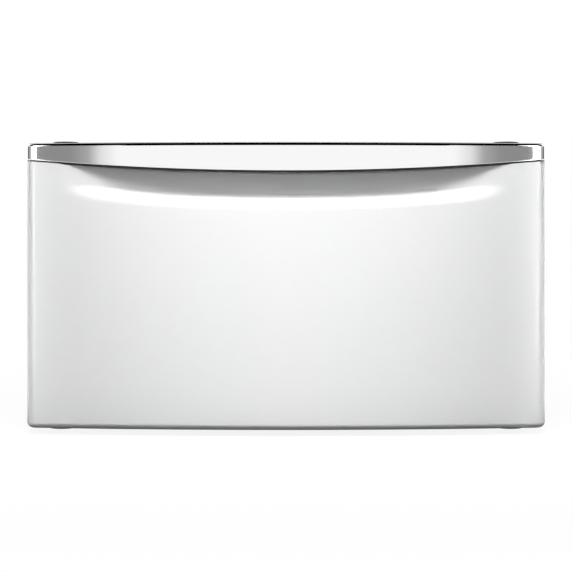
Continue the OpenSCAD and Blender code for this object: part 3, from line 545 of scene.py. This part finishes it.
floorLook = {
    "size": 14.0,
    "bounce": (0.06, 0.06, 0.06),      # the colour that throws light back at the object
    "roughness": 0.8,
    "specular": 0.1,
    "colour": (0.9, 0.9, 0.9),         # the colour that the shadow falls on
    "shadow": 0.15,            # how strong the shadow is at the middle
    "reach": 1.3,              # where it has faded out
}


# White to the camera and in reflections, with a soft shadow that fades out round the object.
def floorMaterial(look):
    material, tree, shader = newMaterial("paleFloor")
    setInputs(shader, {"Base Color": (*look["bounce"], 1), "Roughness": look["roughness"],
                       "Specular IOR Level": look["specular"]})
    coordinates = tree.nodes.new("ShaderNodeTexCoord")
    reach = addNode(tree, "ShaderNodeMapping", Scale=[1 / look["reach"]] * 3)
    linkNodes(tree, coordinates, "Object", reach, "Vector")
    nearness = tree.nodes.new("ShaderNodeTexGradient")
    nearness.gradient_type = "SPHERICAL"
    linkNodes(tree, reach, "Vector", nearness, "Vector")
    shadowShare = addMath(tree, "MULTIPLY", nearness.outputs["Fac"], look["shadow"])
    white = tree.nodes.new("ShaderNodeEmission")
    shaded = addNode(tree, "ShaderNodeBsdfDiffuse", Color=(*look["colour"], 1))
    seen = mixShaders(tree, shadowShare, white, shaded)
    surface = mixShaders(tree, seenByCamera(tree), shader, seen)
    tree.links.new(surface.outputs[0], tree.nodes["Material Output"].inputs["Surface"])
    return material


half = floorLook["size"] / 2
addSheet("floor", (-half, -half, 0), (half, half, 0), floorMaterial(floorLook))

# Cards that only reflections see, as a photographer's flags. A ramp gives a card's shade at
# distances from the middle plane, and a pair has its mirror image on the left.
cards = {
    "overheadFlag": {"low": (-2.4, -2.9, 1.2), "high": (2.4, 0.1, 1.2), "shade": 0.0},
    "floorFlag": {"low": (-0.8, -0.78, 0.004), "high": (0.8, -0.1, 0.004), "shade": 0.0},
    "frontFlagRight": {"low": (0.72, -1.8, 0.005), "high": (1.115, -1.8, 1.195),
                       "ramp": [(0.72, 1.0), (0.80, 0.78), (0.855, 0.40), (0.94, 0.28),
                                (1.099, 0.26), (1.101, 0.0)]},
    "frontFlagLeft": {"low": (-1.128, -1.8, 0.005), "high": (-0.72, -1.8, 1.195),
                      "ramp": [(0.72, 1.0), (0.80, 0.78), (0.855, 0.40), (0.94, 0.28),
                               (1.112, 0.26), (1.114, 0.0)]},
    "cornerBandRight": {"low": (0.689, -1.0, 0.005), "high": (1.79, -1.0, 0.9),
                        "ramp": [(0.689, 4.5), (1.15, 4.5), (1.45, 1.6), (1.79, 1.2)]},
    "cornerBandLeft": {"low": (-1.79, -1.0, 0.005), "high": (-0.703, -1.0, 0.9),
                       "ramp": [(0.703, 4.5), (1.15, 4.5), (1.45, 1.6), (1.79, 1.2)]},
    "sideFlag": {"low": (1.8, -0.1, 0.25), "high": (1.8, 0.5, 0.7), "pair": True, "shade": 0.0},
    "sideGrey": {"low": (1.8, -0.75, 0.25), "high": (1.8, -0.1, 0.7), "pair": True, "shade": 0.5},
}


# The colour output of a ramp that runs with the distance from the middle plane.
def rampColour(tree, stops):
    first, last = stops[0][0], stops[-1][0]
    coordinates = tree.nodes.new("ShaderNodeTexCoord")
    split = tree.nodes.new("ShaderNodeSeparateXYZ")
    linkNodes(tree, coordinates, "Object", split, "Vector")
    distance = addMath(tree, "ABSOLUTE", split.outputs["X"])
    share = addMath(tree, "DIVIDE", addMath(tree, "SUBTRACT", distance, first), last - first)
    ramp = tree.nodes.new("ShaderNodeValToRGB")
    elements = ramp.color_ramp.elements
    for i, (place, shade) in enumerate(stops):
        spot = (place - first) / (last - first)
        stop = elements[i] if i < 2 else elements.new(spot)    # a new ramp has two stops
        stop.position = spot
        stop.color = (shade, shade, shade, 1)
    tree.links.new(share, ramp.inputs["Fac"])
    return ramp.outputs["Color"]


def cardMaterial(name, card):
    material, tree, shader = newMaterial(name)
    tree.nodes.remove(shader)
    glow = tree.nodes.new("ShaderNodeEmission")
    if "ramp" in card:
        tree.links.new(rampColour(tree, card["ramp"]), glow.inputs["Color"])
    else:
        shade = card["shade"]
        glow.inputs["Color"].default_value = (shade, shade, shade, 1)
    tree.links.new(glow.outputs[0], tree.nodes["Material Output"].inputs["Surface"])
    return material


def addCard(name, card):
    material = cardMaterial(name, card)
    places = {name: (card["low"], card["high"])}
    if card.get("pair"):
        low, high = Vector(card["low"]), Vector(card["high"])
        low.x, high.x = -high.x, -low.x
        places[name + "Left"] = (low, high)
    for title, (low, high) in places.items():
        sheet = addSheet(title, low, high, material)
        sheet.visible_camera = False
        sheet.visible_diffuse = False
        sheet.visible_shadow = False
        sheet.visible_transmission = False


for name, card in cards.items():
    addCard(name, card)
print("floor and cards placed:", len(cards))

# The world is white to the camera and in reflections, and lights the object only a little.
worldLook = {"ambient": 0.25}
world = bpy.data.worlds.new("studioWorld")
bpy.context.scene.world = world
world.use_nodes = True
sky = world.node_tree
background = sky.nodes["Background"]
background.inputs["Color"].default_value = (1, 1, 1, 1)
brightness = addMath(sky, "MAXIMUM", seenByCamera(sky), worldLook["ambient"])
sky.links.new(brightness, background.inputs["Strength"])

# Straight ahead of the front. Distance is from the front, height from the floor.
view = {"distance": 2.3, "height": 0.25, "lens": 111.2, "sensor": 36, "shift": -0.0721, "reach": 60}
camera = bpy.data.cameras.new("camera")
camera.lens = view["lens"]
camera.sensor_width = view["sensor"]
camera.shift_y = view["shift"]
camera.clip_end = view["reach"]
viewer = bpy.data.objects.new("camera", camera)
bpy.context.collection.objects.link(viewer)
viewer.location = (0, cadBounds[0][1] - view["distance"], view["height"])
viewer.rotation_euler = (math.pi / 2, 0, 0)
bpy.context.scene.camera = viewer
bpy.context.scene.view_settings.view_transform = "Standard"
print("studio set")
